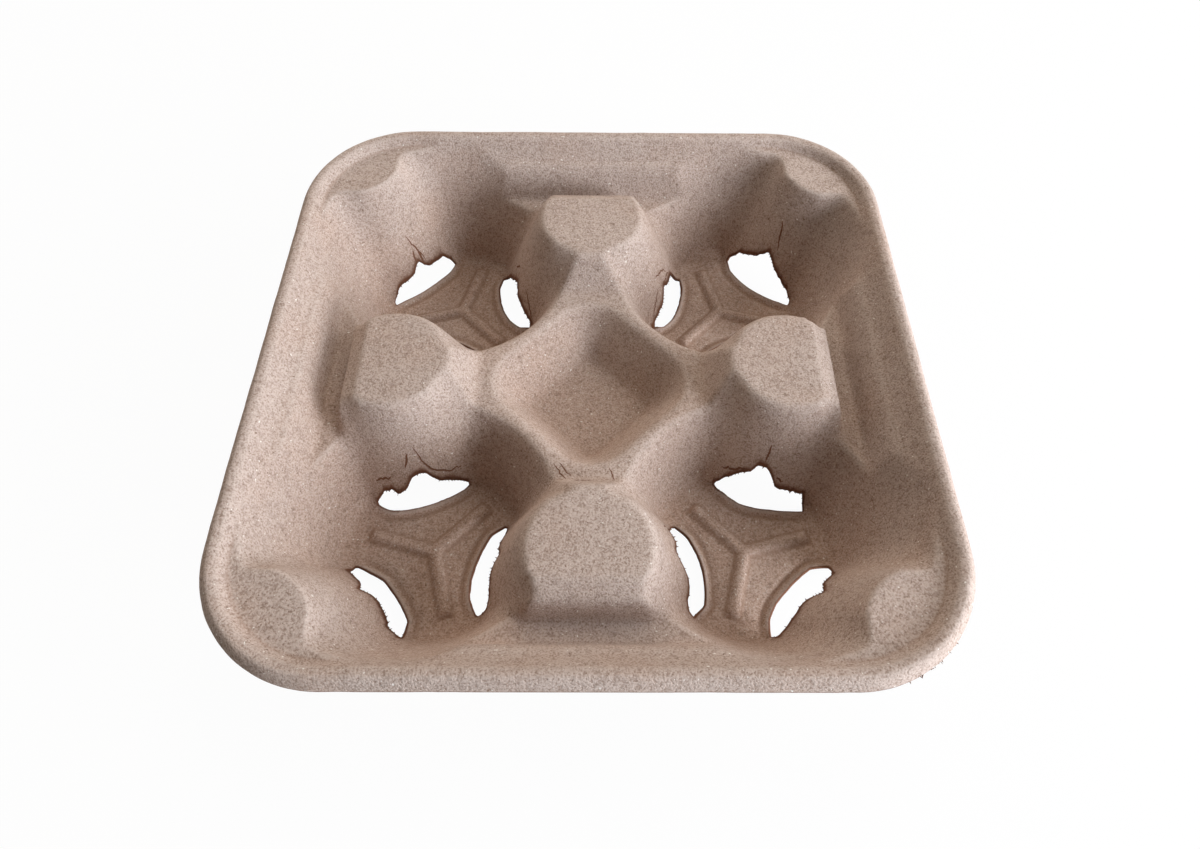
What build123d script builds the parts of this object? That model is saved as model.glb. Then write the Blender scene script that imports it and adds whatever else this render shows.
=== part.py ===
from build123d import *
import math
import os

# A four-cup carrier moulded from pulp as one sheet of even thickness.
# The tray is square and the same on all four sides. Sizes are in millimetres.
# +Z is up, and the undersides of the cup pockets stand on z = 0.

# The whole tray, from how far apart its pockets are and how far outside them its edge lies
pocket_spacing = 101.6
pocket_inset = 54.2
tray_height = 49.0
corner_radius = 38.0
wall = 2.0
wall_draft = 22.8

# The rim: a blunt crest, an outer fall to a short lip, and an inner fall to a narrow ledge
crest_inset = 4.2
crest_bevel = 1.8
lip_shoulder_drop = 3.0
lip_bevel = 1.6
lip_depth = 5.5
ledge_inset = 10.0
ledge_drop = 8.6
ledge_width = 2.0
ledge_fall = 0.8

# The flat shelf in each corner, inside the rim
shelf_drop = 4.7

# The cup pockets
pocket_floor_radius = 29.5

# The posts in the middle of each side, as wide as the room round a pocket's axis leaves them
post_drop = 8.2
post_inset = 40.35
post_clearance = 33.65
post_flat = 9.4
shoulder_width = 6.0
shoulder_drop = 4.0

# The trough between each post and the rim
trough_depth = 13.5
trough_inner_run = 1.0
trough_outer_run = 2.4
band_width = 2.3
band_drop = 3.8

# The flap that leans into each pocket from the tray's corner
flap_radius = 19.0
flap_offset = 38.9

# The saddle between the posts, and the square basin set cornerwise in it
saddle_drop = 12.0
saddle_half_width = 35.3
saddle_draft = 45.0
basin_depth = 17.0
basin_floor_half_width = 15.5
basin_floor_radius = 3.0
basin_draft = 29.0

# The three-armed rib on each pocket floor
rib_height = 1.8
rib_width = 3.5
rib_length = 20.0
rib_draft = 45.0
rib_turn = 105.0

# The three openings at the foot of each pocket's wall
vent_height = 13.0
vent_floor_width = 1.9
vent_end_inset = 3.0

# How far joined solids run into each other, and how far cutting solids run past the tray
overlap = 0.5
clearance = 10.0

# Levels and places worked out from the sizes above
pocket_centre = pocket_spacing / 2
half_tray = pocket_centre + pocket_inset
post_centre = half_tray - post_inset
post_radius = math.hypot(post_centre - pocket_centre, pocket_centre) - post_clearance
flap_centre = pocket_centre + flap_offset
corner_centre = half_tray - corner_radius
shelf_level = tray_height - shelf_drop
ledge_level = tray_height - ledge_drop
post_level = tray_height - post_drop
saddle_level = post_level - saddle_drop
basin_level = saddle_level - basin_depth
draft_slope = math.tan(math.radians(wall_draft))
draft_cosine = math.cos(math.radians(wall_draft))
clear_above = tray_height + clearance
clear_below = -clearance
quarter_turns = (0, 90, 180, 270)
third_turns = (0, 120, 240)


def rounded_square(half_width, radius, level):
    """A square with rounded corners, lying flat at a level."""
    return Pos(0, 0, level) * RectangleRounded(2 * half_width, 2 * half_width, radius)


def upright_cone(x, y, low, low_radius, high, high_radius):
    """A cone that stands on its low end."""
    cone = Cone(low_radius, high_radius, high - low, align=(Align.CENTER, Align.CENTER, Align.MIN))
    return Pos(x, y, low) * cone


def all_sides(shape):
    """Four copies of a shape, one for each side of the tray."""
    return [Rot(0, 0, turn) * shape for turn in quarter_turns]


def rim_section(inset):
    """The cross-section of the rim and shelf, from a corner's centre out to the lip."""
    base = clear_below - inset
    rim_slope = (ledge_inset - crest_inset) / ledge_drop
    shelf_edge = half_tray - crest_inset - shelf_drop * rim_slope
    crest = (half_tray - crest_inset, tray_height)
    lip = (half_tray, tray_height - lip_shoulder_drop)
    far_below = 2 * clear_below
    outline = Polygon(
        (0, far_below),
        (half_tray, far_below),
        lip,
        crest,
        (shelf_edge, shelf_level),
        (0, shelf_level),
        align=None,
    )
    for place, bevel in ((crest, crest_bevel), (lip, lip_bevel)):
        outline = chamfer(outline.vertices().sort_by_distance((*place, 0))[0], bevel)
    if inset:
        outline = offset(outline, -inset, kind=Kind.INTERSECTION)
    reach = half_tray - corner_centre
    window = Pos(corner_centre + reach / 2, base + tray_height) * Rectangle(reach, 2 * tray_height)
    return outline & window


def rimmed_block(inset):
    """A solid block with the tray's outline, its rim, and its corner shelves carried across."""
    section = Plane.XZ * rim_section(inset)
    side = extrude(section, corner_centre, both=True)
    corner_axis = Axis((corner_centre, corner_centre, 0), (0, 0, 1))
    corner = revolve(Pos(0, corner_centre, 0) * section, corner_axis, 90)
    base = clear_below - inset
    height = shelf_level - inset - base
    middle = Pos(0, 0, base + height / 2) * Box(2 * corner_centre, 2 * corner_centre, height)
    return middle + all_sides(side) + all_sides(corner)


def side_profile():
    """The run of the land from the tray's middle over one post and its trough to the rim."""
    lean = math.radians(saddle_draft)
    post_edge = post_centre + post_flat
    shoulder_edge = post_edge + shoulder_width
    ledge_edge = half_tray - ledge_inset - ledge_width
    band_edge = ledge_edge - band_width
    trough_level = post_level - trough_depth
    return [
        (0, saddle_level),
        (saddle_half_width, saddle_level),
        (saddle_half_width + saddle_drop * math.tan(lean), post_level),
        (post_edge, post_level),
        (shoulder_edge, post_level - shoulder_drop),
        (shoulder_edge + trough_inner_run, trough_level),
        (band_edge - trough_outer_run, trough_level),
        (band_edge, ledge_level - ledge_fall - band_drop),
        (ledge_edge, ledge_level - ledge_fall),
        (half_tray - ledge_inset, ledge_level),
        (half_tray - crest_inset, tray_height),
    ]


def land_recess(inset):
    """The space above one quarter of the land, under which the post and trough lie."""
    corners = side_profile()
    outline = Polygon(*corners, (corners[-1][0], clear_above), (0, clear_above), align=None)
    if inset:
        outline = offset(outline, inset, kind=Kind.INTERSECTION)
    slab = extrude(Plane.XZ * outline, half_tray, both=True)
    reach = half_tray + clear_above
    quarter = Polygon(
        (0, 0),
        (pocket_centre, -pocket_centre),
        (reach, -pocket_centre),
        (reach, pocket_centre),
        (pocket_centre, pocket_centre),
        align=None,
    )
    return slab & extrude(Pos(0, 0, clear_below) * quarter, 2 * reach)


def basin(inset):
    """The square basin in the middle, turned so that its corners point at the posts."""
    lean = math.radians(basin_draft)
    growth = inset / math.cos(lean) - inset * math.tan(lean)
    low = basin_level - inset
    rise = saddle_level + overlap - low
    outline = rounded_square(basin_floor_half_width + growth, basin_floor_radius + growth, low)
    return Rot(0, 0, 45) * extrude(outline, rise, taper=-basin_draft)


def cup_radius(level, inset):
    """The radius of a pocket's cone at a level."""
    return pocket_floor_radius + (level - wall) * draft_slope + inset / draft_cosine


def bulge_radius(radius, level, inset):
    """The radius of a post's or flap's cone at a level."""
    return radius + (post_level - level) * draft_slope - inset / draft_cosine


def pocket(inset):
    """One cup pocket: a cone less the flap and posts that lean into it."""
    low = wall - inset
    foot = low - overlap
    brim = tray_height + overlap
    top = brim + overlap
    place = (pocket_centre, pocket_centre)
    cup = upright_cone(*place, low, cup_radius(low, inset), brim, cup_radius(brim, inset))
    for x, y, radius in bulges():
        foot_radius = bulge_radius(radius, foot, inset)
        cup -= upright_cone(x, y, foot, foot_radius, top, bulge_radius(radius, top, inset))
    return cup


def bulges():
    """The places and top radii of the two posts and the flap that lean into one pocket."""
    return (
        (post_centre, 0, post_radius),
        (0, post_centre, post_radius),
        (flap_centre, flap_centre, flap_radius),
    )


def floor_rib(inset):
    """The three-armed rib that stiffens one pocket floor."""
    lean = math.radians(rib_draft)
    narrowing = inset * (1 / math.cos(lean) - math.tan(lean))
    low = wall - inset - overlap
    height = rib_height + overlap
    run = height * math.tan(lean)
    foot_width = rib_width - 2 * narrowing + 2 * run
    arm = Pos((rib_length - run) / 2, 0, low) * Rectangle(rib_length + run, foot_width)
    arm = extrude(arm, height, taper=rib_draft)
    arms = [Rot(0, 0, rib_turn + turn) * arm for turn in third_turns]
    return Pos(pocket_centre, pocket_centre, 0) * (arms[0] + arms[1:])


def skirt():
    """What lies below the lip, outside the walls of the tray."""
    inner_half = half_tray - wall - overlap
    inner_corner = corner_radius - (half_tray - inner_half)
    low = clear_below - 2 * wall
    outside = Pos(0, 0, low) * Rectangle(4 * half_tray, 4 * half_tray)
    ring = outside - rounded_square(inner_half, inner_corner, low)
    return extrude(ring, tray_height - lip_depth - low)


def vents():
    """The three openings of one pocket, each at the foot of a post or of the corner flap."""
    openings = []
    for x, y, radius in bulges():
        wall_foot = bulge_radius(radius, wall, 0)
        outline = Pos(x, y) * Circle(wall_foot + vent_floor_width)
        outline -= Pos(x, y) * Circle(wall_foot - vent_height * draft_slope)
        outline &= Pos(pocket_centre, pocket_centre) * Circle(pocket_floor_radius - vent_end_inset)
        prism = extrude(Pos(0, 0, -wall) * outline, 2 * wall + vent_height + overlap)
        openings.append(prism)
    return openings


def form(inset):
    """Everything under the tray's upper surface, with that surface moved inwards by inset."""
    body = rimmed_block(inset) - all_sides(land_recess(inset))
    body -= basin(inset)
    body -= all_sides(pocket(inset))
    return body + all_sides(floor_rib(inset))


def main():
    tray = form(0.0) - form(wall) - skirt()
    for opening in vents():
        tray -= all_sides(opening)
    os.makedirs("parts", exist_ok=True)
    export_step(tray, "parts/cup_carrier.step")


if __name__ == "__main__":
    main()
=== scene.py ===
"""A square drinks carrier moulded from paper pulp: four cup pockets round a sunk basin."""

from __future__ import annotations

import logging
import math
import random
from dataclasses import dataclass, field
from enum import Enum

import bmesh
import bpy
from mathutils import Matrix, Vector, noise
from mathutils.bvhtree import BVHTree


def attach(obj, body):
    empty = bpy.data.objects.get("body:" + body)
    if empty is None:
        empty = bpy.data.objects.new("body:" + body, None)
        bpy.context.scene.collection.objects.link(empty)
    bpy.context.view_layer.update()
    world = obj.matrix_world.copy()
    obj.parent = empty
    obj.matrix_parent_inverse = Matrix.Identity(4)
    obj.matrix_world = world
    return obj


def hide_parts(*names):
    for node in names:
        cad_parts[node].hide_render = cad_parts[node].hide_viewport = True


logging.basicConfig(level=logging.INFO, format="%(message)s")
log = logging.getLogger("cup_carrier")

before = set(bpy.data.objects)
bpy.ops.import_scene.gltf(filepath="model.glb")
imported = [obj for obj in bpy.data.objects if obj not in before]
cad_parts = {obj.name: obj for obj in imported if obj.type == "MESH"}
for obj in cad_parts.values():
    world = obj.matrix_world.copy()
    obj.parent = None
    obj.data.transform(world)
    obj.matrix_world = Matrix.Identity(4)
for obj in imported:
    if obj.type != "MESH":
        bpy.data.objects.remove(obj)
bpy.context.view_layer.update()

# Meshes are in metres. The carrier's sizes written with MM are in metres too, and its others are in
# millimetres. The studio says what its own sizes are in.
MM = 0.001
NODE = "cup_carrier"
BODY = "root"
SEED = 7

# The slope of the pockets' walls in degrees, the pockets' places and the level of their floors
WALL_DRAFT = 22.8
DRAFT_RISE = 1.0 / math.tan(math.radians(WALL_DRAFT))
POCKET_CENTRE = 50.8
FLOOR_LEVEL = 2.0

# A distance longer than the tray's detail, and a height in metres above the whole tray
FAR = 99.0
ABOVE = 0.1
UP = Vector((0.0, 0.0, 1.0))
DOWN = Vector((0.0, 0.0, -1.0))

Colour = tuple[float, float, float]
Socket = bpy.types.NodeSocket
Shape = bmesh.types.BMesh
Vertex = bmesh.types.BMVert
Depths = dict[Vertex, float]


def clamp(value: float, low: float = 0.0, high: float = 1.0) -> float:
    """Keeps a value between two others."""
    return min(max(value, low), high)


def corner_signs(place: Vector) -> tuple[float, float]:
    """The signs of a place's x and y, which say what quarter of the tray it lies in."""
    return math.copysign(1, place.x), math.copysign(1, place.y)


def pocket_middle(place: Vector) -> Vector:
    """The middle of the pocket in a place's quarter of the tray, in plan, in mm."""
    return Vector([sign * POCKET_CENTRE for sign in corner_signs(place)])


def spread(place: Vector) -> tuple[float, float]:
    """The larger and the smaller of a place's distances from the tray's two middle lines."""
    return max(abs(place.x), abs(place.y)), min(abs(place.x), abs(place.y))


def surface_of(mesh: bpy.types.Mesh) -> BVHTree:
    """A tree of a mesh's faces, on which rays find the surface."""
    places = [vertex.co for vertex in mesh.vertices]
    return BVHTree.FromPolygons(places, [face.vertices[:] for face in mesh.polygons])


def as_object(shape: Shape, name: str, finish: bpy.types.Material) -> bpy.types.Object:
    """Turns a finished shape into an object of the scene.

    Args:
        shape: The shape, which is freed.
        name: The name of the object and its mesh.
        finish: Its material.

    Returns:
        The object.
    """
    mesh = bpy.data.meshes.new(name)
    shape.to_mesh(mesh)
    shape.free()
    mesh.materials.append(finish)
    made = bpy.data.objects.new(name, mesh)
    bpy.context.scene.collection.objects.link(made)
    return made


@dataclass(frozen=True)
class Nodes:
    """Adds shader nodes to one tree and links them."""

    tree: bpy.types.NodeTree
    under_socket: int = 6
    over_socket: int = 7
    mixed_socket: int = 2

    def add(self, kind: str) -> bpy.types.Node:
        """Adds a node of a kind."""
        return self.tree.nodes.new(kind)

    def link(self, start: Socket, end: Socket) -> None:
        """Links an output to an input."""
        self.tree.links.new(start, end)

    def cloud(self, place: Socket, scale: float, detail: float, distortion: float = 0.0) -> Socket:
        """Adds a noise texture.

        Args:
            place: The coordinates that it reads.
            scale: How fine it is.
            detail: How many finer layers it has.
            distortion: How far it is bent.

        Returns:
            The noise's value.
        """
        cloud = self.add("ShaderNodeTexNoise")
        cloud.inputs["Scale"].default_value = scale
        cloud.inputs["Detail"].default_value = detail
        cloud.inputs["Distortion"].default_value = distortion
        self.link(place, cloud.inputs["Vector"])
        return cloud.outputs["Fac"]

    def attribute(self, name: str) -> Socket:
        """Adds a node that reads one of the mesh's own attributes.

        Args:
            name: The attribute's name.

        Returns:
            The attribute's value.
        """
        reader = self.add("ShaderNodeAttribute")
        reader.attribute_name = name
        return reader.outputs["Fac"]

    def ramp(self, value: Socket, start: float, end: float) -> Socket:
        """Turns the stretch of a value from start to end into 0 to 1.

        Args:
            value: The value.
            start: Where the result is 0.
            end: Where the result is 1.

        Returns:
            The result.
        """
        ramp = self.add("ShaderNodeMapRange")
        ramp.inputs["From Min"].default_value = start
        ramp.inputs["From Max"].default_value = end
        self.link(value, ramp.inputs["Value"])
        return ramp.outputs["Result"]

    def maths(self, operation: str, first: Socket, second: Socket | float) -> Socket:
        """Adds a node that works on two values.

        Args:
            operation: What it does.
            first: The first value.
            second: The second value, from another node or as a number.

        Returns:
            The result.
        """
        node = self.add("ShaderNodeMath")
        node.operation = operation
        self.link(first, node.inputs[0])
        if isinstance(second, float):
            node.inputs[1].default_value = second
        else:
            self.link(second, node.inputs[1])
        return node.outputs[0]

    def scaled(self, value: Socket, factor: float) -> Socket:
        """Multiplies a value by a number."""
        return self.maths("MULTIPLY", value, factor)

    def sum(self, first: Socket, second: Socket) -> Socket:
        """Adds two values."""
        return self.maths("ADD", first, second)

    def over(self, value: Socket, under: Socket | Colour, colour: Colour, strength: float) -> Socket:
        """Lays a colour over another, as far as a value times a strength says.

        Args:
            value: Where the colour shows.
            under: The colour below it.
            colour: The colour that is laid on.
            strength: How strongly it covers.

        Returns:
            The mixed colour.
        """
        mix = self.add("ShaderNodeMix")
        mix.data_type = "RGBA"
        self.link(self.scaled(value, strength), mix.inputs["Factor"])
        if isinstance(under, tuple):
            mix.inputs[self.under_socket].default_value = (*under, 1.0)
        else:
            self.link(under, mix.inputs[self.under_socket])
        mix.inputs[self.over_socket].default_value = (*colour, 1.0)
        return mix.outputs[self.mixed_socket]


class Quarter(Enum):
    """The corner of the tray that a pocket stands in, as the signs of its x and y."""

    BACK_RIGHT = (1, 1)
    BACK_LEFT = (-1, 1)
    FRONT_LEFT = (-1, -1)
    FRONT_RIGHT = (1, -1)


class Foot(Enum):
    """What stands over a vent: the post beside the pocket, the one at its end, or the corner flap."""

    SIDE_POST = "side_post"
    END_POST = "end_post"
    FLAP = "flap"


@dataclass(frozen=True)
class PulpFinish:
    """Grey-brown paper pulp: a matt, grainy, fibrous sheet, browner at torn edges, with painted shade
    that makes it browner and darker low down and in creases, and painted highlight on ridges.
    """

    name: str = "pulp"
    base: Colour = (0.505, 0.398, 0.342)
    # low is the painted shade colour low down, and also the mottle's darker tone
    low: Colour = (0.490, 0.335, 0.255)
    pale: Colour = (0.640, 0.540, 0.480)
    dark: Colour = (0.215, 0.140, 0.100)
    # crease_shade is the colour of the painted shade in hollows and creases
    crease_shade: Colour = (0.280, 0.168, 0.112)
    torn: Colour = (0.165, 0.070, 0.038)
    pale_speck: Colour = (0.82, 0.78, 0.72)
    roughness: float = 0.95
    specular: float = 0.12
    top: float = 35.0 * MM
    lump_height: float = 0.8
    bump_strength: float = 0.75
    bump_height: float = 0.3 * MM
    hair_bend: float = 1.6
    hair_middle: float = 0.5
    hair_width: float = 0.012
    patch_share: float = 0.7

    def material(self) -> bpy.types.Material:
        """Builds the node tree of the finish.

        Returns:
            A material that reads Object coordinates and the meshes' own torn and bend attributes.
        """
        material = bpy.data.materials.new(self.name)
        material.use_nodes = True
        nodes = Nodes(material.node_tree)
        shader = material.node_tree.nodes["Principled BSDF"]
        shader.inputs["Roughness"].default_value = self.roughness
        shader.inputs["Specular IOR Level"].default_value = self.specular
        place = nodes.add("ShaderNodeTexCoord").outputs["Object"]

        grain = nodes.cloud(place, scale=1750.0, detail=3.0)
        lumps = nodes.cloud(place, scale=520.0, detail=2.0)
        colour = self._colour(nodes, place, grain, lumps)
        nodes.link(colour, shader.inputs["Base Color"])

        height = nodes.sum(grain, nodes.scaled(lumps, self.lump_height))
        bump = nodes.add("ShaderNodeBump")
        bump.inputs["Strength"].default_value = self.bump_strength
        bump.inputs["Distance"].default_value = self.bump_height
        nodes.link(height, bump.inputs["Height"])
        nodes.link(bump.outputs["Normal"], shader.inputs["Normal"])
        return material

    def _colour(self, nodes: Nodes, place: Socket, grain: Socket, lumps: Socket) -> Socket:
        """Lays the painted shade low down, the mottle, grain, fibres, specks, the painted shade in
        hollows and painted highlight on ridges, and the torn edges over the base colour.

        Args:
            nodes: The tree's helper.
            place: The Object coordinates.
            grain: The finest noise.
            lumps: The noise of the felt-like lumps.

        Returns:
            The socket that carries the finished colour.
        """
        split = nodes.add("ShaderNodeSeparateXYZ")
        nodes.link(place, split.inputs[0])
        # painted shade: from the top level down to the floor the colour turns browner and darker,
        # standing in for the deep shade in the pockets and basin
        depth = nodes.ramp(split.outputs["Z"], start=self.top, end=0.0)
        colour = nodes.over(depth, self.base, self.low, strength=0.88)
        mottle = nodes.cloud(place, scale=42.0, detail=4.0)
        colour = nodes.over(nodes.ramp(mottle, start=0.5, end=0.75), colour, self.pale, strength=0.22)
        colour = nodes.over(nodes.ramp(mottle, start=0.5, end=0.25), colour, self.low, strength=0.45)
        colour = nodes.over(nodes.ramp(grain, start=0.50, end=0.28), colour, self.dark, strength=0.78)
        colour = nodes.over(nodes.ramp(grain, start=0.50, end=0.72), colour, self.pale, strength=0.60)
        colour = nodes.over(nodes.ramp(lumps, start=0.46, end=0.30), colour, self.dark, strength=0.32)
        hairs = self._fibres(nodes, place, scale=380.0, shift=3.0)
        colour = nodes.over(hairs, colour, self.pale, strength=0.55)
        hairs = self._fibres(nodes, place, scale=300.0, shift=9.0)
        colour = nodes.over(hairs, colour, self.dark, strength=0.60)
        specks = nodes.cloud(place, scale=1150.0, detail=0.0)
        few = nodes.ramp(specks, start=0.205, end=0.185)
        colour = nodes.over(few, colour, self.dark, strength=0.85)
        few = nodes.ramp(specks, start=0.815, end=0.830)
        colour = nodes.over(few, colour, self.pale_speck, strength=0.9)
        # painted shade in hollows and creases, and painted highlight on ridges and on the vents' lips,
        # both read from the bend attribute
        bend = nodes.attribute("bend")
        colour = nodes.over(nodes.ramp(bend, start=0.12, end=0.70), colour, self.crease_shade, strength=0.55)
        colour = nodes.over(nodes.ramp(bend, start=-0.08, end=-0.60), colour, self.pale, strength=0.45)
        torn = nodes.attribute("torn")
        colour = nodes.over(torn, colour, self.torn, strength=0.32)
        return nodes.over(nodes.ramp(torn, start=0.52, end=0.80), colour, self.torn, strength=0.96)

    def _fibres(self, nodes: Nodes, place: Socket, scale: float, shift: float) -> Socket:
        """Adds short, curly, sparse hairs as thin bands of a bent noise.

        Args:
            nodes: The tree's helper.
            place: The Object coordinates.
            scale: The noise's scale.
            shift: What sets this set of hairs apart from others.

        Returns:
            A value that is 1 on a hair and 0 off it.
        """
        moved = nodes.add("ShaderNodeVectorMath")
        moved.operation = "ADD"
        moved.inputs[1].default_value = (shift, -shift, shift)
        nodes.link(place, moved.inputs[0])
        bent = nodes.cloud(moved.outputs[0], scale=scale, detail=1.0, distortion=self.hair_bend)
        hair = nodes.maths("COMPARE", bent, self.hair_middle)
        hair.node.inputs[2].default_value = self.hair_width
        patches = nodes.cloud(moved.outputs[0], scale=self.patch_share * scale, detail=0.0)
        return nodes.maths("MULTIPLY", hair, nodes.ramp(patches, start=0.60, end=0.64))


@dataclass(frozen=True)
class Vent:
    """One torn opening at the foot of a pocket's wall.

    Places are measured in mm in plan: along the wall's foot, anticlockwise round the post or flap,
    and across it, towards the pocket's middle. The runs of values are evenly spaced from end to
    end. The wall's side is ragged, and the floor's side has a smooth lip with a dip beyond it.
    """

    quarter: Quarter
    foot: Foot
    middle: float
    half_length: float
    cut: tuple[float, ...]
    reach: tuple[float, ...]
    ragged: float = 0.3
    coarse_teeth: float = 1.3
    fine_teeth: float = 4.1
    fine_shift: float = 5.0
    fine_share: float = 0.5
    torn_start: float = 0.2
    lip_full: float = 0.75
    lip_fade: float = 0.35
    lip_inset: float = 1.0
    lip_reach: float = 8.0
    ridge_width: float = 1.2
    dip_depth: float = 0.6
    dip_place: float = 2.5
    dip_width: float = 0.9
    seed_steps: tuple[float, float, float] = (3.7, 7.1, 11.3)
    post_place: tuple[float, float] = (64.65, 0.0)
    flap_place: tuple[float, float] = (89.7, 89.7)
    foot_radius: float = 35.3

    def axis(self) -> Vector:
        """Finds the post or flap that the vent is cut into.

        Returns:
            Its middle in plan, in mm.
        """
        sign_x, sign_y = self.quarter.value
        x, y = {
            Foot.SIDE_POST: self.post_place,
            Foot.END_POST: (self.post_place[1], self.post_place[0]),
            Foot.FLAP: self.flap_place,
        }[self.foot]
        return Vector((sign_x * x, sign_y * y))

    def measure(self, x: float, y: float) -> tuple[float, float]:
        """Turns a place in plan into a place along and across the wall's foot.

        Args:
            x: The place's x in mm.
            y: The place's y in mm.

        Returns:
            The distances along and across the foot, in mm.
        """
        sign_x, sign_y = self.quarter.value
        axis = self.axis()
        inward = Vector((sign_x * POCKET_CENTRE, sign_y * POCKET_CENTRE)) - axis
        offset = Vector((x, y)) - axis
        turn = math.atan2(inward.x * offset.y - inward.y * offset.x, inward.dot(offset))
        return turn * self.foot_radius, offset.length - self.foot_radius

    def wall_level(self, x: float, y: float) -> float:
        """The level in mm of the uncut floor and wall at a place in plan."""
        _, across = self.measure(x, y)
        return FLOOR_LEVEL + max(0.0, -across) * DRAFT_RISE

    def depth(self, x: float, y: float) -> float:
        """Finds how far a place in plan lies inside the opening.

        Args:
            x: The place's x in mm.
            y: The place's y in mm.

        Returns:
            The depth in mm, below zero outside the opening.
        """
        along, across = self.measure(x, y)
        share = (along - self.middle) / self.half_length
        cut = self._read(self.cut, share)
        cut += self.ragged * noise.noise(Vector((along * self.coarse_teeth, self._seed(), 0.0)))
        fine = noise.noise(Vector((along * self.fine_teeth, self._seed(), self.fine_shift)))
        cut += self.fine_share * self.ragged * fine
        reach = self._read(self.reach, share)
        end = self.half_length - abs(along - self.middle)
        return min(across + cut, reach - across, end)

    def torn_share(self, x: float, y: float) -> float:
        """How fully a place on the opening's edge belongs to its torn side, from 0 to 1."""
        _, across = self.measure(x, y)
        return clamp(-across - self.torn_start)

    def lip(self, x: float, y: float) -> float:
        """Finds the lip on the opening's floor side, and the dip beyond it.

        Args:
            x: The place's x in mm.
            y: The place's y in mm.

        Returns:
            The rise at the place in mm, below zero in the dip.
        """
        along, across = self.measure(x, y)
        share = (along - self.middle) / self.half_length
        fade = max(0.0, 1.0 - max(0.0, abs(share) - self.lip_full) / self.lip_fade)
        off = across - self._read(self.reach, share)
        if fade == 0.0 or across < -self.lip_inset or off > self.lip_reach:
            return 0.0
        ridge = math.exp(-((off / self.ridge_width) ** 2))
        dip = self.dip_depth * math.exp(-(((off - self.dip_place) / self.dip_width) ** 2))
        return fade * (ridge - dip)

    def _seed(self) -> float:
        """Sets one vent's ragged edge apart from the others'.

        Returns:
            A number that no other vent has.
        """
        sign_x, sign_y = self.quarter.value
        step_x, step_y, step_foot = self.seed_steps
        return step_x * sign_x + step_y * sign_y + step_foot * list(Foot).index(self.foot)

    @staticmethod
    def _read(values: tuple[float, ...], share: float) -> float:
        """Reads evenly spaced values at a place between them.

        Args:
            values: The values.
            share: The place, from -1 at the first value to 1 at the last.

        Returns:
            The value there.
        """
        spot = clamp((share + 1.0) / 2.0) * (len(values) - 1)
        first = min(int(spot), len(values) - 2)
        part = spot - first
        return values[first] * (1.0 - part) + values[first + 1] * part


def all_vents() -> list[Vent]:
    """The openings of the four pockets, each torn in its own way."""
    back_right, back_left, front_left, front_right = Quarter
    side, end, flap = Foot
    return [
        Vent(front_right, side, 0.8, 16.3,
             (0.9, 3.0, 4.0, 4.8, 5.4, 7.0, 6.8, 5.8, 3.8, 3.6, 3.3, 2.9, 2.4),
             (-0.6, -0.2, 0.9, 0.8, 0.6, 1.0, 1.6)),
        Vent(front_right, end, -2.2, 17.0,
             (3.5, 4.6, 4.3, 4.1, 4.3, 6.2, 8.0, 7.5, 6.1, 5.3, 5.0, 4.5, 0.1),
             (-1.6, 1.7, 1.9, 2.3, 2.4, 2.4, 1.1)),
        Vent(front_right, flap, 0.6, 16.5,
             (0.1, 3.5, 4.3, 4.9, 5.3, 6.6, 7.7, 5.1, 4.4, 4.3, 3.8, 3.2, 1.7),
             (0.7, 2.5, 2.1, 1.8, 2.1, 1.8, 0.1)),
        Vent(front_left, side, -0.1, 16.7,
             (0.9, 2.9, 3.3, 2.5, 3.3, 5.0, 5.4, 5.5, 3.9, 3.1, 2.8, 2.0, 0.4),
             (0.1, 1.3, 0.9, 0.5, 0.3, 0.3, 0.2)),
        Vent(front_left, end, 1.3, 16.0,
             (-0.3, 0.9, 2.1, 3.3, 4.1, 5.5, 7.0, 4.7, 4.4, 4.3, 4.3, 4.1, 2.8),
             (1.0, 2.9, 2.8, 2.9, 3.1, 2.8, 1.1)),
        Vent(front_left, flap, -1.9, 15.9,
             (1.9, 3.8, 3.6, 3.7, 3.7, 3.6, 4.0, 5.9, 4.5, 3.7, 3.3, 2.7, 1.9),
             (-1.1, 1.4, 1.4, 1.6, 2.1, 1.4, 1.3)),
        Vent(back_left, side, 0.3, 15.8,
             (0.6, 2.6, 3.7, 4.4, 4.6, 5.6, 5.9, 4.7, 4.2, 3.6, 3.4, 2.4, 0.5),
             (0.6, 1.6, 1.8, 1.7, 1.5, 1.4, 0.3)),
        Vent(back_left, end, 3.4, 16.5,
             (0.0, 2.1, 2.9, 3.7, 4.5, 5.1, 4.4, 3.7, 3.5, 3.2, 2.9, 2.4, 1.5),
             (0.7, 2.0, 2.2, 2.3, 2.0, 0.6, -1.6)),
        Vent(back_left, flap, -1.2, 15.4,
             (-0.6, 1.8, 2.6, 2.9, 3.0, 3.9, 4.9, 3.5, 3.1, 3.0, 2.9, 2.9, 0.8),
             (2.6, 1.9, 1.4, 1.0, 1.0, 1.5, 0.8)),
        Vent(back_right, side, -0.4, 15.6,
             (0.4, 2.2, 3.1, 3.9, 4.9, 4.6, 5.1, 6.2, 4.4, 4.0, 3.6, 2.9, 0.9),
             (0.4, 1.5, 1.6, 1.9, 1.7, 1.2, 0.2)),
        Vent(back_right, end, -2.7, 15.9,
             (1.2, 2.2, 2.7, 3.1, 3.4, 4.4, 5.3, 4.5, 4.2, 4.1, 3.8, 2.5, -0.3),
             (-1.5, 0.6, 1.5, 1.4, 1.3, 1.4, 0.9)),
        Vent(back_right, flap, 0.5, 16.7,
             (0.8, 3.2, 3.8, 4.3, 4.8, 5.5, 6.7, 6.1, 4.9, 4.1, 3.3, 2.4, 0.0),
             (0.2, 1.4, 1.6, 1.7, 1.6, 1.7, 1.7)),
    ]


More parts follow.
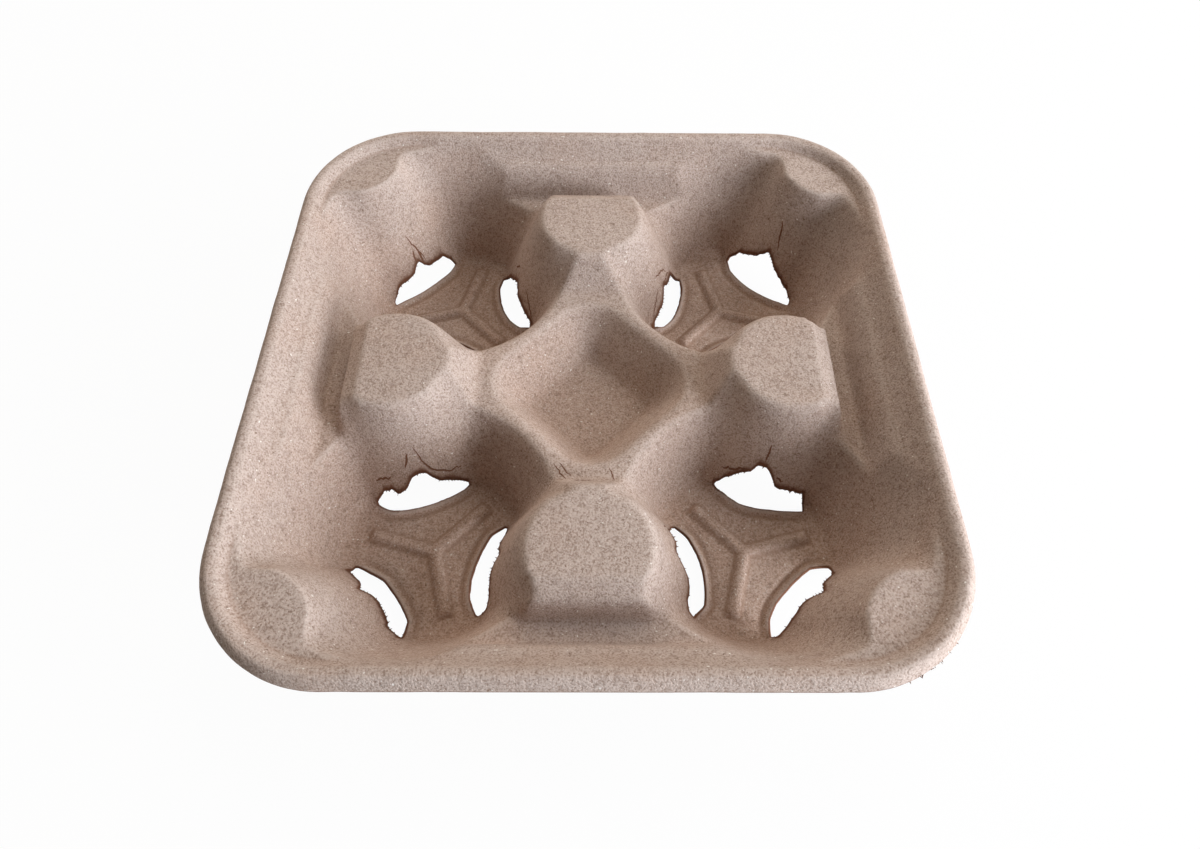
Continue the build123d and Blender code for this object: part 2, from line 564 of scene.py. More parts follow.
@dataclass(frozen=True)
class CrackShade:
    """A hairline crack or wrinkle in the sheet, through a few places in plan, in mm, drawn as a narrow
    dark strip of painted shade laid just above the sheet.
    """

    line: tuple[tuple[float, float], ...]
    width: float = 0.6
    lift: float = 0.06
    step: float = 0.6
    fewest: int = 4
    fullness: float = 0.65
    end_share: float = 0.04
    bluntness: float = 0.6
    wander: float = 0.5
    wander_scale: float = 0.9

    def add(self, shape: Shape, surface: BVHTree) -> None:
        """Adds the crack's narrow dark strip, its painted shade, to a mesh.

        Args:
            shape: The mesh that takes the strip.
            surface: The sheet that the strip lies on.
        """
        lengths = [math.dist(*pair) for pair in zip(self.line, self.line[1:])]
        count = max(self.fewest, round(sum(lengths) / self.step))
        places = [self._laid(share / count, lengths, surface) for share in range(count + 1)]
        made = bmesh.ops.create_grid(shape, x_segments=count, y_segments=1, size=1.0)["verts"]
        for vertex in made:
            spot = round((vertex.co.x + 1.0) / 2.0 * count)
            side = math.copysign(1.0, vertex.co.y)
            place, normal = places[spot]
            ahead = places[min(spot + 1, count)][0] - places[max(spot - 1, 0)][0]
            across = normal.cross(ahead).normalized()
            share = self.end_share + (1.0 - 2.0 * self.end_share) * spot / count
            half = self.fullness * self.width * MM * math.sin(math.pi * share) ** self.bluntness
            # the strip lies just above the sheet as painted shade; the sheet itself has no groove here
            vertex.co = place + normal * self.lift * MM + across * side * half

    def _laid(self, share: float, lengths: list[float], surface: BVHTree) -> tuple[Vector, Vector]:
        """Lays one place of the crack on the sheet.

        Args:
            share: The place's share of the crack's length.
            lengths: The lengths between the crack's places.
            surface: The sheet.

        Returns:
            The place on the sheet and the sheet's normal there.
        """
        left = share * sum(lengths)
        spot = 0
        while spot < len(lengths) - 1 and left > lengths[spot]:
            left -= lengths[spot]
            spot += 1
        first, second = Vector(self.line[spot]), Vector(self.line[spot + 1])
        place = first.lerp(second, min(left / lengths[spot], 1.0))
        shift = noise.noise_vector(Vector((*place, 0.0)) * self.wander_scale).xy * self.wander
        start = Vector((*((place + shift) * MM), ABOVE))
        hit, normal, _, _ = surface.ray_cast(start, DOWN)
        return (start.xy.to_3d(), UP) if hit is None else (hit, normal)


def all_cracks() -> list[CrackShade]:
    """The painted shade of the cracks above the torn openings, and of the wrinkles at the basin's front
    corner.
    """
    return [
        CrackShade(((-59.3, -25.4), (-59.8, -26.8), (-60.4, -28.5)), 0.6),
        CrackShade(((-57.2, -24.7), (-54.1, -26.6), (-51.9, -27.3), (-47.9, -26.0), (-43.4, -23.3)), 0.55),
        CrackShade(((-70.8, -30.0), (-65.4, -29.9)), 0.7),
        CrackShade(((-68.7, 69.9), (-67.0, 68.3)), 0.7),
        CrackShade(((-70.3, 68.9), (-69.7, 66.7)), 0.6),
        CrackShade(((-72.4, 70.6), (-69.8, 70.0), (-66.6, 69.5)), 0.5),
        CrackShade(((-27.6, 58.8), (-29.0, 62.0)), 0.6),
        CrackShade(((-25.0, 49.6), (-23.5, 44.5), (-22.9, 40.4)), 0.45),
        CrackShade(((28.2, 55.0), (30.2, 61.8)), 0.6),
        CrackShade(((25.6, 50.4), (24.5, 46.2), (23.9, 42.7)), 0.45),
        CrackShade(((24.2, 52.2), (28.7, 60.0)), 0.55),
        CrackShade(((72.7, 67.9), (73.6, 73.2)), 0.5),
        CrackShade(((44.9, -23.9), (48.5, -25.8), (52.1, -26.6)), 0.7),
        CrackShade(((57.5, -26.6), (57.9, -25.6), (58.6, -24.1)), 0.5),
        CrackShade(((61.6, -29.8), (64.0, -30.4)), 0.6),
        CrackShade(((23.2, -49.5), (24.4, -47.0)), 0.5),
        CrackShade(((-9.5, -32.0), (-5.7, -37.1)), 0.3),
        CrackShade(((-11.3, -32.5), (-7.4, -38.1)), 0.3),
        CrackShade(((6.2, -33.6), (7.7, -38.6)), 0.3),
        CrackShade(((-4.7, -38.8), (1.1, -38.7)), 0.3),
    ]


@dataclass
class MouldedTray:
    """The tray itself: one sheet pressed over the form, with softened edges and torn vents."""

    half_width: float = 105.0 * MM
    corner_radius: float = 38.0 * MM
    lip_bottom: float = 43.5 * MM
    sheet: float = 2.0 * MM
    segments: int = 122
    rim_crowding: float = 0.07
    crowding_power: int = 6
    edge_inset: float = 0.1 * MM
    softening: int = 1
    land_softening: int = 3
    land_bottom: float = 20.0
    land_end: float = 71.5
    land_half_width: float = 50.0
    valley_softening: int = 24
    valley_width: float = 14.0
    valley_bottom: float = 4.5
    valley_match: float = 1.0
    foot_softening: int = 8
    foot_inside: float = 5.0
    foot_outside: float = 4.0
    foot_height: float = 14.0 * MM
    floor_radius: float = 29.5
    floor_zone: float = 4.2 * MM
    saddle_level: float = 28.8
    post_level: float = 40.8
    saddle_end: float = 35.3
    slope_foot: float = 38.4
    slope_head: float = 45.2
    slope_zone: tuple[float, float] = (34.0, 49.0)
    slope_half_width: float = 25.0
    slope_match: float = 0.1
    basin_level: float = 11.8
    basin_floor: float = 15.5
    basin_corner: float = 3.0
    basin_run: float = 11.4
    basin_softening: int = 3
    basin_zone: float = 34.0 * MM
    rib_height: float = 1.8
    rib_arms: int = 3
    rib_turn: float = 60.0
    rib_foot: float = 2.35
    rib_side: float = 1.1
    rib_length: float = 22.6
    rib_overrun: float = 1.0
    rib_zone: float = 26.0
    # the width, inset and strength of the painted shade line along each rib's foot
    rib_foot_shade_width: float = 0.55
    rib_foot_shade_inset: float = 0.1
    rib_foot_shade: float = 0.95
    fine_bend: float = 0.08 * MM
    fine_band: float = 3.2
    fine_inside: float = 1.5
    bend_scale: float = 2.6 * MM
    trough_start: float = 78.0
    trough_levels: tuple[float, float] = (20.0, 38.0)
    trough_shade_share: float = 0.5
    lip_highlight_and_dip_shade: float = 1.4
    torn_reach: float = 4.0
    torn_width: float = 2.2
    smooth_width: float = 0.6
    floor_side: float = 0.82
    thinned_width: float = 3.0
    thinning: float = 0.55
    rim_zone: float = 2.0 * MM
    fold_height: float = 0.6 * MM
    fold_edge: float = 0.4
    cut_edge: float = 1.6
    swell: float = 0.13
    swell_length: float = 11.0
    chop: float = 0.05
    chop_length: float = 3.5
    vents: list[Vent] = field(default_factory=all_vents)

    def build(self, finish: bpy.types.Material) -> bpy.types.Object:
        """Makes the tray's mesh and dresses it.

        Args:
            finish: The pulp material.

        Returns:
            The finished tray.
        """
        shape = bmesh.new()
        bmesh.ops.create_grid(
            shape, x_segments=self.segments, y_segments=self.segments, size=self.half_width
        )
        self._fit_outline(shape)
        self._press(shape)
        self._refine(shape)
        self._press(shape)
        self._fill_valleys(shape)
        self._soften(shape)
        self._mark_painted_shade(shape)
        self._open_vents(shape)
        self._turn_down_lip(shape)
        self._ripple(shape)
        for face in shape.faces:
            face.smooth = True
        tray = as_object(shape, "moulded_tray", finish)
        tray.vertex_groups.new(name="thickness")
        thicken = tray.modifiers.new("sheet", "SOLIDIFY")
        thicken.thickness = self.sheet
        thicken.offset = -1.0
        thicken.use_even_offset = False
        thicken.vertex_group = "thickness"
        self._settle(tray)
        return tray

    def _settle(self, tray: bpy.types.Object) -> None:
        """Keeps the thickened sheet as the tray's own mesh, flat on the ground and true at the rim.

        Args:
            tray: The tray with its modifier.
        """
        graph = bpy.context.evaluated_depsgraph_get()
        mesh = bpy.data.meshes.new_from_object(tray.evaluated_get(graph))
        tray.modifiers.clear()
        tray.data = mesh
        reach = self.half_width
        for vertex in mesh.vertices:
            x, y, z = vertex.co
            vertex.co = (clamp(x, -reach, reach), clamp(y, -reach, reach), max(z, 0.0))

    def _fit_outline(self, shape: Shape) -> None:
        """Crowds the rows towards the rim and rounds the grid's corners.

        Args:
            shape: The flat grid.
        """
        corner = self.half_width - self.corner_radius
        for vertex in shape.verts:
            x, y = (self._crowd(value) for value in vertex.co.xy)
            over = Vector((abs(x) - corner, abs(y) - corner))
            if over.x > 0.0 and over.y > 0.0:
                reach = max(over)
                turn = math.pi / 4.0 * min(over) / reach
                long, short = reach * math.cos(turn), reach * math.sin(turn)
                over = Vector((long, short)) if over.x >= over.y else Vector((short, long))
                x = math.copysign(corner + over.x, x)
                y = math.copysign(corner + over.y, y)
            vertex.co = (x, y, 0.0)

    def _crowd(self, value: float) -> float:
        """Moves a grid row outwards, so that rows lie closer together at the rim.

        Args:
            value: The row's place.

        Returns:
            Its new place.
        """
        share = abs(value) / self.half_width
        share *= 1.0 + self.rim_crowding * (1.0 - share**self.crowding_power)
        return math.copysign(share * self.half_width, value)

    def _press(self, shape: Shape) -> None:
        """Lays every vertex on the upper surface of the solid tray.

        Args:
            shape: The sheet.
        """
        tree = surface_of(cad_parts[NODE].data)
        inside = 1.0 - self.edge_inset / self.half_width
        for vertex in shape.verts:
            start = Vector((vertex.co.x * inside, vertex.co.y * inside, ABOVE))
            hit = tree.ray_cast(start, DOWN)[0]
            vertex.co.z = self._wall_level(vertex.co) if hit is None else hit.z
            vertex.co.z = self._land_level(vertex.co)
            vertex.co.z = min(vertex.co.z, self._basin_level(vertex.co))
            vertex.co.z = self._rib_level(vertex.co)

    def _land_level(self, place: Vector) -> float:
        """Makes the slopes from the saddle up to the posts a little steeper.

        Args:
            place: A place on the sheet.

        Returns:
            Its new level.
        """
        wide, narrow = (side / MM for side in spread(place))
        first, last = self.slope_zone
        if not first < wide < last or narrow > self.slope_half_width:
            return place.z
        rise = self.post_level - self.saddle_level
        solid = self.saddle_level + clamp(wide - self.saddle_end, 0.0, rise)
        share = (wide - self.slope_foot) / (self.slope_head - self.slope_foot)
        dressed = self.saddle_level + rise * clamp(share)
        level = place.z / MM
        return (dressed if level > solid - self.slope_match else min(level, dressed)) * MM

    def _basin_level(self, place: Vector) -> float:
        """Finds the basin's wall, a little wider at the brim than the solid's.

        Args:
            place: A place on the sheet.

        Returns:
            The wall's level there, without end outside the basin.
        """
        inner = self.basin_floor - self.basin_corner
        sides = [abs(place.x + place.y), abs(place.x - place.y)]
        over = Vector([max(side / math.sqrt(2.0) / MM - inner, 0.0) for side in sides])
        out = over.length - self.basin_corner
        if out > self.basin_run:
            return math.inf
        rise = self.saddle_level - self.basin_level
        return (self.basin_level + rise * max(out, 0.0) / self.basin_run) * MM

    def _rib_level(self, place: Vector) -> float:
        """Redraws a pocket floor's three-armed rib a little slimmer.

        Args:
            place: A place on the sheet.

        Returns:
            Its new level.
        """
        inside = self._inside_rib(place)
        if inside is None:
            return place.z
        return (FLOOR_LEVEL + self.rib_height * clamp(inside / self.rib_side)) * MM

    def _inside_rib(self, place: Vector) -> float | None:
        """Finds how far a place on a pocket floor lies inside the rib's foot line.

        Args:
            place: A place on the sheet.

        Returns:
            The distance in mm, below zero outside the rib, or None off the floor.
        """
        sign_x, sign_y = corner_signs(place)
        off = place.xy / MM - pocket_middle(place)
        if place.z > self.floor_zone or off.length > self.rib_zone:
            return None
        inside = -FAR
        for arm in range(self.rib_arms):
            turn = math.radians(self.rib_turn + 360.0 / self.rib_arms * arm) + math.atan2(sign_y, sign_x)
            along = off.x * math.cos(turn) + off.y * math.sin(turn)
            across = abs(off.x * math.sin(turn) - off.y * math.cos(turn))
            if along > -self.rib_overrun:
                inside = max(inside, min(self.rib_foot - across, self.rib_length - along))
        return inside

    def _wall_level(self, place: Vector) -> float:
        """The level of the uncut pocket wall or floor at a place."""
        levels = [vent.wall_level(place.x / MM, place.y / MM) for vent in self._near(place)]
        return max(levels) * MM

    def _near(self, place: Vector) -> list[Vent]:
        """The vents of the pocket that a place lies in."""
        signs = corner_signs(place)
        return [vent for vent in self.vents if vent.quarter.value == signs]

    def _refine(self, shape: Shape) -> None:
        """Divides the grid along the form's edges and beside the openings.

        Args:
            shape: The sheet.
        """
        fine = {vertex for vertex in shape.verts if self._needs_detail(vertex)}
        edges = {
            edge
            for face in shape.faces
            if any(vertex in fine for vertex in face.verts)
            for edge in face.edges
        }
        bmesh.ops.subdivide_edges(shape, edges=list(edges), cuts=1, use_grid_fill=True)

    def _needs_detail(self, vertex: Vertex) -> bool:
        """Checks whether the form turns sharply at a vertex, or an opening's edge is near.

        Args:
            vertex: A vertex of the sheet.

        Returns:
            Whether the grid is divided round it.
        """
        if -self.fine_band < self._depth(vertex) < self.fine_inside:
            return True
        around = [edge.other_vert(vertex).co.z for edge in vertex.link_edges]
        bend = vertex.co.z - sum(around) / len(around)
        return abs(bend) > self.fine_bend and not self._in_valley(vertex.co / MM)

    def _in_valley(self, place: Vector) -> bool:
        """Checks for the line where a pocket's round wall meets a post or the flap.

        Args:
            place: A place on the sheet, in mm.

        Returns:
            Whether it is near that line.
        """
        cup = (place.xy - pocket_middle(place)).length - self.floor_radius
        levels = [vent.wall_level(*place.xy) for vent in self._near(place)]
        second, first = sorted([*levels, FLOOR_LEVEL + max(0.0, cup) * DRAFT_RISE])[-2:]
        on_wall = place.z > self.valley_bottom and abs(place.z - first) < self.valley_match
        return on_wall and first - second < self.valley_width

    def _fill_valleys(self, shape: Shape) -> None:
        """Rounds the valleys in the pockets' walls and the foot of each wall, which the pulp fills.

        Args:
            shape: The sheet.
        """
        soft = [vertex for vertex in shape.verts if self._in_valley(vertex.co / MM)]
        feet = [vertex for vertex in shape.verts if self._at_foot(vertex)]
        for vertices in [soft] * self.valley_softening + [feet] * self.foot_softening:
            self._smooth(shape, vertices)

    def _at_foot(self, vertex: Vertex) -> bool:
        """Checks whether a vertex is where a pocket's round wall rises from its floor.

        Args:
            vertex: A vertex of the sheet.

        Returns:
            Whether it is.
        """
        off = (vertex.co.xy / MM - pocket_middle(vertex.co)).length
        near = self.floor_radius - self.foot_inside < off < self.floor_radius + self.foot_outside
        return near and vertex.co.z < self.foot_height

    def _soften(self, shape: Shape) -> None:
        """Rounds the form's edges as the felt of the mould does, least of all the pocket floors.

        Args:
            shape: The sheet.
        """
        inner = [vertex for vertex in shape.verts if not vertex.is_boundary]
        raised = [vertex for vertex in inner if vertex.co.z > self.floor_zone]
        lands = [vertex for vertex in inner if self._on_land(vertex.co / MM)]
        basin = [vertex for vertex in inner if sum(spread(vertex.co)) < self.basin_zone]
        self._smooth(shape, inner)
        passes = [raised] * self.softening + [lands] * self.land_softening
        for vertices in passes + [basin] * self.basin_softening:
            self._smooth(shape, vertices)

    @staticmethod
    def _smooth(shape: Shape, vertices: list[Vertex]) -> None:
        """Moves vertices halfway to the middle of their neighbours."""
        bmesh.ops.smooth_vert(
            shape, verts=vertices, factor=0.5, use_axis_x=True, use_axis_y=True, use_axis_z=True
        )

    def _mark_painted_shade(self, shape: Shape) -> None:
        """Marks how sharply the sheet bends at each vertex, hollows above zero and ridges below, for
        painted shade in the hollows and painted highlight on the ridges, with a painted line of shade at
        each rib's foot.

        Args:
            shape: The sheet.
        """
        layer = shape.verts.layers.float.new("bend")
        shape.normal_update()
        for vertex in shape.verts:
            around = [edge.other_vert(vertex).co for edge in vertex.link_edges]
            gap = sum((place - vertex.co).length_squared for place in around) / len(around)
            pull = sum(around, Vector()) / len(around) - vertex.co
            bend = clamp(self.bend_scale * pull.dot(vertex.normal) / gap, -1.0, 1.0)
            # the troughs get less of the painted crease shade
            if bend > 0.0 and self._in_trough(vertex.co / MM):
                bend *= self.trough_shade_share
            vertex[layer] = bend
            # painted shade: a dark line along the foot of each rib
            inside = self._inside_rib(vertex.co)
            if inside is not None:
                line = math.exp(-(((inside + self.rib_foot_shade_inset) / self.rib_foot_shade_width) ** 2))
                vertex[layer] = max(vertex[layer], self.rib_foot_shade * line)

    def _in_trough(self, place: Vector) -> bool:
        """Whether a place, in mm, is in the trough between a post and the rim."""
        low, high = self.trough_levels
        return spread(place)[0] > self.trough_start and low < place.z < high

    def _on_land(self, place: Vector) -> bool:
        """Whether a place, in mm, belongs to the posts, the saddle or the basin's rim."""
        wide, narrow = spread(place)
        return place.z > self.land_bottom and wide < self.land_end and narrow < self.land_half_width

    def _depth(self, vertex: Vertex) -> float:
        """How far a vertex lies inside the nearest opening, in mm."""
        x, y = vertex.co.x / MM, vertex.co.y / MM
        return max((vent.depth(x, y) for vent in self._near(vertex.co)), default=-FAR)

    def _open_vents(self, shape: Shape) -> None:
        """Cuts the torn openings out of the sheet, along edges finer than the rest of it.

        Args:
            shape: The sheet.
        """
        depth = {vertex: self._depth(vertex) for vertex in shape.verts}
        self._settle_on_outline(shape, depth)
        bend = shape.verts.layers.float["bend"]
        for vertex in shape.verts:
            x, y = vertex.co.x / MM, vertex.co.y / MM
            lift = sum(vent.lip(x, y) for vent in self._near(vertex.co))
            vertex.co.z += lift * MM
            # the lip's ridge gets painted highlight and the dip beyond it painted shade, through the
            # bend attribute
            vertex[bend] -= self.lip_highlight_and_dip_shade * lift
        gone = [face for face in shape.faces if max(depth[vertex] for vertex in face.verts) > 0.0]
        bmesh.ops.delete(shape, geom=gone, context="FACES")
        self._mark_torn(shape)

    @staticmethod
    def _settle_on_outline(shape: Shape, depth: Depths) -> None:
        """Moves the vertices beside an opening's outline onto it, and splits faces that it crosses.

        Args:
            shape: The sheet.
            depth: How far each vertex lies inside an opening, set to 0 for those that are moved.
        """
        moved: dict[Vertex, tuple[float, Vector]] = {}
        for edge in shape.edges:
            first, second = edge.verts
            if depth[first] * depth[second] >= 0.0:
                continue
            share = depth[first] / (depth[first] - depth[second])
            place = first.co.lerp(second.co, share)
            vertex, gap = (first, share) if share < 0.5 else (second, 1.0 - share)
            if vertex not in moved or gap < moved[vertex][0]:
                moved[vertex] = (gap, place)
        for vertex, (_, place) in moved.items():
            vertex.co = place
            depth[vertex] = 0.0
        for face in list(shape.faces):
            signs = [depth[vertex] for vertex in face.verts]
            if max(signs) > 0.0 > min(signs):
                line = [vertex for vertex in face.verts if depth[vertex] == 0.0]
                if len(line) == 2:
                    bmesh.ops.connect_verts(shape, verts=line)

    def _mark_torn(self, shape: Shape) -> None:
        """Thins the sheet towards the torn edges and marks them for their darker colour.

        Args:
            shape: The sheet.
        """
        torn = shape.verts.layers.float.new("torn")
        weights = shape.verts.layers.deform.verify()
        for vertex in shape.verts:
            x, y = vertex.co.x / MM, vertex.co.y / MM
            share = 0.0
            off = FAR
            for vent in self._near(vertex.co):
                inside = vent.depth(x, y)
                if inside > -self.torn_reach:
                    off = min(off, max(0.0, -inside))
                    share = max(share, vent.torn_share(x, y))
            width = self.torn_width * (self.smooth_width + (1.0 - self.smooth_width) * share)
            near = max(0.0, 1.0 - off / width)
            vertex[torn] = (self.floor_side + (1.0 - self.floor_side) * share) * near
            vertex[weights][0] = 1.0 - self.thinning * max(0.0, 1.0 - off / self.thinned_width)

    def _turn_down_lip(self, shape: Shape) -> None:
        """Runs the outer edge down to the bottom of the lip.

        Args:
            shape: The sheet.
        """
        low = self.lip_bottom - self.rim_zone
        rim = [
            edge
            for edge in shape.edges
            if edge.is_boundary and all(vertex.co.z > low for vertex in edge.verts)
        ]
        torn = shape.verts.layers.float["torn"]
        fold = (self.lip_bottom + self.fold_height, self.fold_edge)
        for level, brown in (fold, (self.lip_bottom, self.cut_edge)):
            made = bmesh.ops.extrude_edge_only(shape, edges=rim)["geom"]
            rim = [item for item in made if isinstance(item, bmesh.types.BMEdge)]
            for item in made:
                if isinstance(item, Vertex):
                    item.co.z = level
                    item[torn] = brown
        bmesh.ops.recalc_face_normals(shape, faces=shape.faces)
        if sum(face.normal.z for face in shape.faces) < 0.0:
            bmesh.ops.reverse_faces(shape, faces=shape.faces)

    def _ripple(self, shape: Shape) -> None:
        """Gives the sheet the slight unevenness of dried pulp.

        Args:
            shape: The sheet.
        """
        shape.normal_update()
        for vertex in shape.verts:
            place = vertex.co / MM
            wave = self.swell * noise.noise(place / self.swell_length)
            wave += self.chop * noise.noise(place / self.chop_length)
            inward = min(0.0, wave) if vertex.is_boundary else wave
            vertex.co += vertex.normal * inward * MM


@dataclass
class TornDetail:
    """The loose fibres along the torn edges, and dark strips of painted shade for the hairline cracks
    and wrinkles in the sheet.
    """

    sheet: bpy.types.Object
    vents: list[Vent] = field(default_factory=all_vents)
    cracks: list[CrackShade] = field(default_factory=all_cracks)
    fibres: int = 460
    fibre_lengths: tuple[float, float] = (0.25, 0.9)
    highest: float = 30.0 * MM
    torn_edge: float = 0.85
    edge_offset: float = 3.0
    burrs: int = 26
    burr_place: tuple[float, float] = (86.5, -97.5)
    burr_lengths: tuple[float, float] = (0.5, 1.1)
    burr_reach: float = 11.0 * MM
    burr_top: float = 44.2 * MM
    burr_edge: float = 0.4
    burr_fall: float = 0.8
    shade: float = 0.78
    scatter: float = 0.45
    sunk_share: float = 0.35
    sides: int = 4
    radii: tuple[float, float] = (0.12, 0.30)
    tip: float = 0.02 * MM

    def build(self, finish: bpy.types.Material) -> bpy.types.Object:
        """Makes the fibres and cracks as one piece.

        Args:
            finish: The pulp material, which shows them in the colour of a torn edge, the crack strips as
                painted shade.

        Returns:
            The finished piece.
        """
        shape = bmesh.new()
        mesh = self.sheet.data
        values = mesh.attributes["torn"].data
        torn = [
            vertex.co
            for vertex in mesh.vertices
            if vertex.co.z < self.highest and values[vertex.index].value > self.torn_edge
        ]
        for place in random.sample(torn, min(self.fibres, len(torn))):
            length = random.uniform(*self.fibre_lengths) * MM
            self._fibre(shape, place, self._outward(place), length)
        corner = Vector(self.burr_place) * MM
        rim = [
            vertex.co
            for vertex in mesh.vertices
            if vertex.co.z < self.burr_top and (vertex.co.xy - corner).length < self.burr_reach
            and values[vertex.index].value > self.burr_edge
        ]
        for place in random.sample(rim, min(self.burrs, len(rim))):
            lean = Vector((place.x, place.y, 0.0)).normalized() - UP * self.burr_fall
            self._fibre(shape, place, lean, random.uniform(*self.burr_lengths) * MM)
        tree = surface_of(mesh)
        for crack in self.cracks:
            crack.add(shape, tree)
        # the fibres take the torn edges' colour, and the crack strips take it as painted shade
        layer = shape.verts.layers.float.new("torn")
        for vertex in shape.verts:
            vertex[layer] = self.shade
        return as_object(shape, "torn_detail", finish)

    def _outward(self, place: Vector) -> Vector:
        """Finds the direction from a torn edge into its opening.

        Args:
            place: A place on the edge.

        Returns:
            The level direction.
        """
        signs = corner_signs(place)
        near = [vent for vent in self.vents if vent.quarter.value == signs]
        x, y = place.x / MM, place.y / MM
        vent = min(near, key=lambda item: abs(item.measure(x, y)[1] + self.edge_offset))
        across = place.xy / MM - vent.axis()
        return Vector((across.x, across.y, 0.0)).normalized()

    def _fibre(self, shape: Shape, place: Vector, lean: Vector, length: float) -> None:
        """Adds one thin spike that starts inside the sheet.

        Args:
            shape: The mesh that takes it.
            place: Where it leaves the sheet.
            lean: The way that it roughly points.
            length: Its length.
        """
        scatter = Vector([random.gauss(0.0, self.scatter) for _ in range(3)])
        way = (lean + scatter).normalized()
        turn = way.to_track_quat("Z", "Y").to_matrix().to_4x4()
        middle = place + way * (self.sunk_share * length)
        bmesh.ops.create_cone(
            shape,
            cap_ends=True,
            cap_tris=True,
            segments=self.sides,
            radius1=random.uniform(*self.radii) * MM,
            radius2=self.tip,
            depth=length,
            matrix=Matrix.Translation(middle) @ turn,
        )


@dataclass(frozen=True)
class Lamp:
    """A square area lamp that faces the tray, a metre away.

    Its bearing and height are in degrees, its power in watts and its size in metres.
    """

    name: str
    bearing: float
    height: float
    power: float
    colour: Colour = (1.0, 0.88, 0.77)
    size: float = 0.5

    def build(self) -> None:
        """Places the lamp."""
        data = bpy.data.lights.new(self.name, "AREA")
        data.size = self.size
        data.energy = self.power
        data.color = self.colour
        lamp = bpy.data.objects.new(self.name, data)
        bpy.context.scene.collection.objects.link(lamp)
        bearing, height = math.radians(self.bearing), math.radians(self.height)
        level = math.cos(height)
        place = Vector((level * math.cos(bearing), level * math.sin(bearing), math.sin(height)))
        lamp.location = place
        lamp.rotation_euler = (-place).to_track_quat("-Z", "Y").to_euler()


def all_lamps() -> list[Lamp]:
    """The low key lamp at the front right, and dimmer lamps all round."""
    return [
        Lamp("key", 327.0, 15.0, 12.0, (0.94, 1.0, 1.08)),
        Lamp("right", 357.0, 35.0, 4.8, (0.95, 1.0, 1.07)),
        Lamp("high", 60.0, 60.0, 2.8, (1.0, 0.93, 0.84)),
        Lamp("back", 90.0, 26.0, 2.9),
        Lamp("left", 155.0, 35.0, 1.75),
        Lamp("front", 270.0, 28.0, 0.5),
    ]


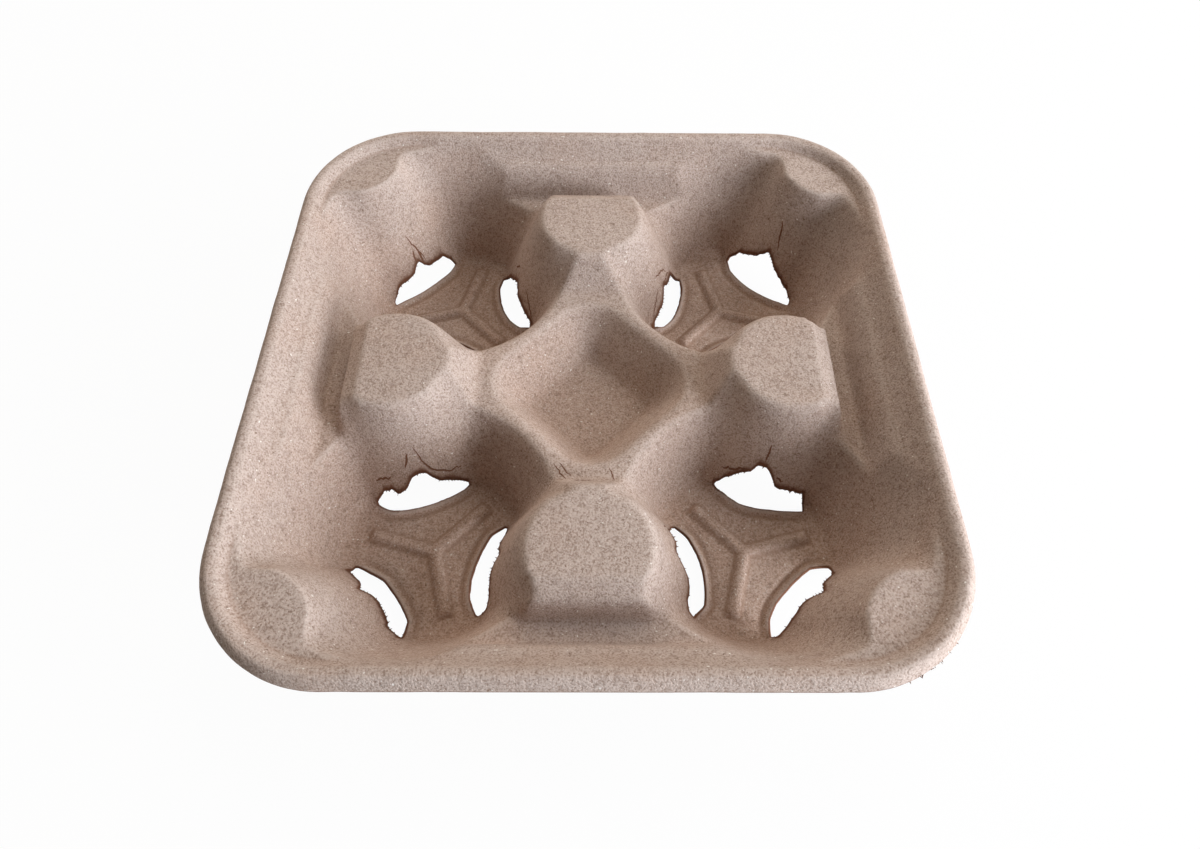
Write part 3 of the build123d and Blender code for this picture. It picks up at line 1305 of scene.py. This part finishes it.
@dataclass
class Studio:
    """The pale floor, the lamps, and the camera at the photograph's angle.

    The camera's place and sensor are in mm, its focal length and the picture's rise are in pixels,
    and the floor's size and the nearest distance are in metres.
    """

    image_width: int = 1200
    focal_pixels: float = 802.91
    sensor: float = 36.0
    nearest: float = 0.01
    pitch: float = 0.990506
    roll: float = 0.0144097
    yaw: float = 0.0124820
    camera_place: tuple[float, float, float] = (1.401, -153.375, 250.94)
    centre_rise: float = 26.117
    air: Colour = (1.0, 0.98, 0.95)
    air_light: float = 0.02
    backdrop: float = 1.0
    floor_size: float = 3.0
    floor_drop: float = 0.2 * MM
    floor_colour: Colour = (0.8, 0.8, 0.8)
    floor_roughness: float = 0.9
    floor_white: float = 0.96
    lamps: list[Lamp] = field(default_factory=all_lamps)

    def build(self) -> None:
        """Places the camera, the lamps and the floor."""
        self._camera()
        self._lamps()
        self._floor()

    def _camera(self) -> None:
        """Sets up the camera that looks down into the tray from the front."""
        data = bpy.data.cameras.new("camera")
        data.sensor_width = self.sensor
        data.lens = self.focal_pixels / self.image_width * data.sensor_width
        data.shift_y = -self.centre_rise / self.image_width
        data.clip_start = self.nearest
        camera = bpy.data.objects.new("camera", data)
        bpy.context.scene.collection.objects.link(camera)
        down = Matrix.Rotation(math.pi / 2.0 - self.pitch, 4, "X")
        turn = Matrix.Rotation(-self.yaw, 4, "Z")
        lean = Matrix.Rotation(self.roll, 4, "Z")
        place = Matrix.Translation(Vector(self.camera_place) * MM)
        camera.matrix_world = place @ turn @ down @ lean
        bpy.context.scene.camera = camera

    def _lamps(self) -> None:
        """Lights the tray from low on its right and front, with a little light all round."""
        world = bpy.data.worlds.new("studio")
        world.use_nodes = True
        bpy.context.scene.world = world
        tree = world.node_tree
        light = tree.nodes["Background"]
        light.inputs["Color"].default_value = (*self.air, 1.0)
        light.inputs["Strength"].default_value = self.air_light
        white = tree.nodes.new("ShaderNodeBackground")
        white.inputs["Color"].default_value = (1.0, 1.0, 1.0, 1.0)
        end = tree.nodes["World Output"].inputs["Surface"]
        self._show(Nodes(tree), self.backdrop, (light.outputs[0], white.outputs[0]), end)
        for lamp in self.lamps:
            lamp.build()

    @staticmethod
    def _show(nodes: Nodes, strength: float, shaders: tuple[Socket, Socket], end: Socket) -> None:
        """Shows white to the rays by which a thing is seen: camera, glossy and transmission rays.

        Args:
            nodes: The helper of the thing's tree.
            strength: How far the white covers what is below it.
            shaders: The shader that the other rays meet, and the white one.
            end: The input of the tree's output.
        """
        paths = nodes.add("ShaderNodeLightPath").outputs
        seen = nodes.sum(paths["Is Camera Ray"], paths["Is Glossy Ray"])
        seen = nodes.sum(seen, paths["Is Transmission Ray"])
        mix = nodes.add("ShaderNodeMixShader")
        for start, socket in zip((nodes.scaled(seen, strength), *shaders), mix.inputs):
            nodes.link(start, socket)
        nodes.link(mix.outputs[0], end)

    def _floor(self) -> None:
        """Lays a pale floor that keeps the tray's shadow and shows as white."""
        material = bpy.data.materials.new("floor")
        material.use_nodes = True
        tree = material.node_tree
        shader = tree.nodes["Principled BSDF"]
        shader.inputs["Base Color"].default_value = (*self.floor_colour, 1.0)
        shader.inputs["Roughness"].default_value = self.floor_roughness
        glow = tree.nodes.new("ShaderNodeEmission")
        end = tree.nodes["Material Output"].inputs["Surface"]
        self._show(Nodes(tree), self.floor_white, (shader.outputs[0], glow.outputs[0]), end)
        shape = bmesh.new()
        bmesh.ops.create_grid(shape, x_segments=1, y_segments=1, size=self.floor_size)
        floor = as_object(shape, "floor", material)
        floor.location.z = -self.floor_drop


def main() -> None:
    """Builds the studio and the carrier, and reports each piece."""
    random.seed(SEED)
    noise.seed_set(SEED)
    bpy.context.scene.view_settings.view_transform = "Standard"
    Studio().build()
    pulp = PulpFinish().material()
    tray = MouldedTray().build(pulp)
    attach(tray, BODY)
    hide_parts(NODE)
    detail = TornDetail(tray).build(pulp)
    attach(detail, BODY)
    for piece in (tray, detail):
        piece.data.calc_loop_triangles()
        log.info("%s: %d triangles", piece.name, len(piece.data.loop_triangles))


if __name__ == "__main__":
    main()
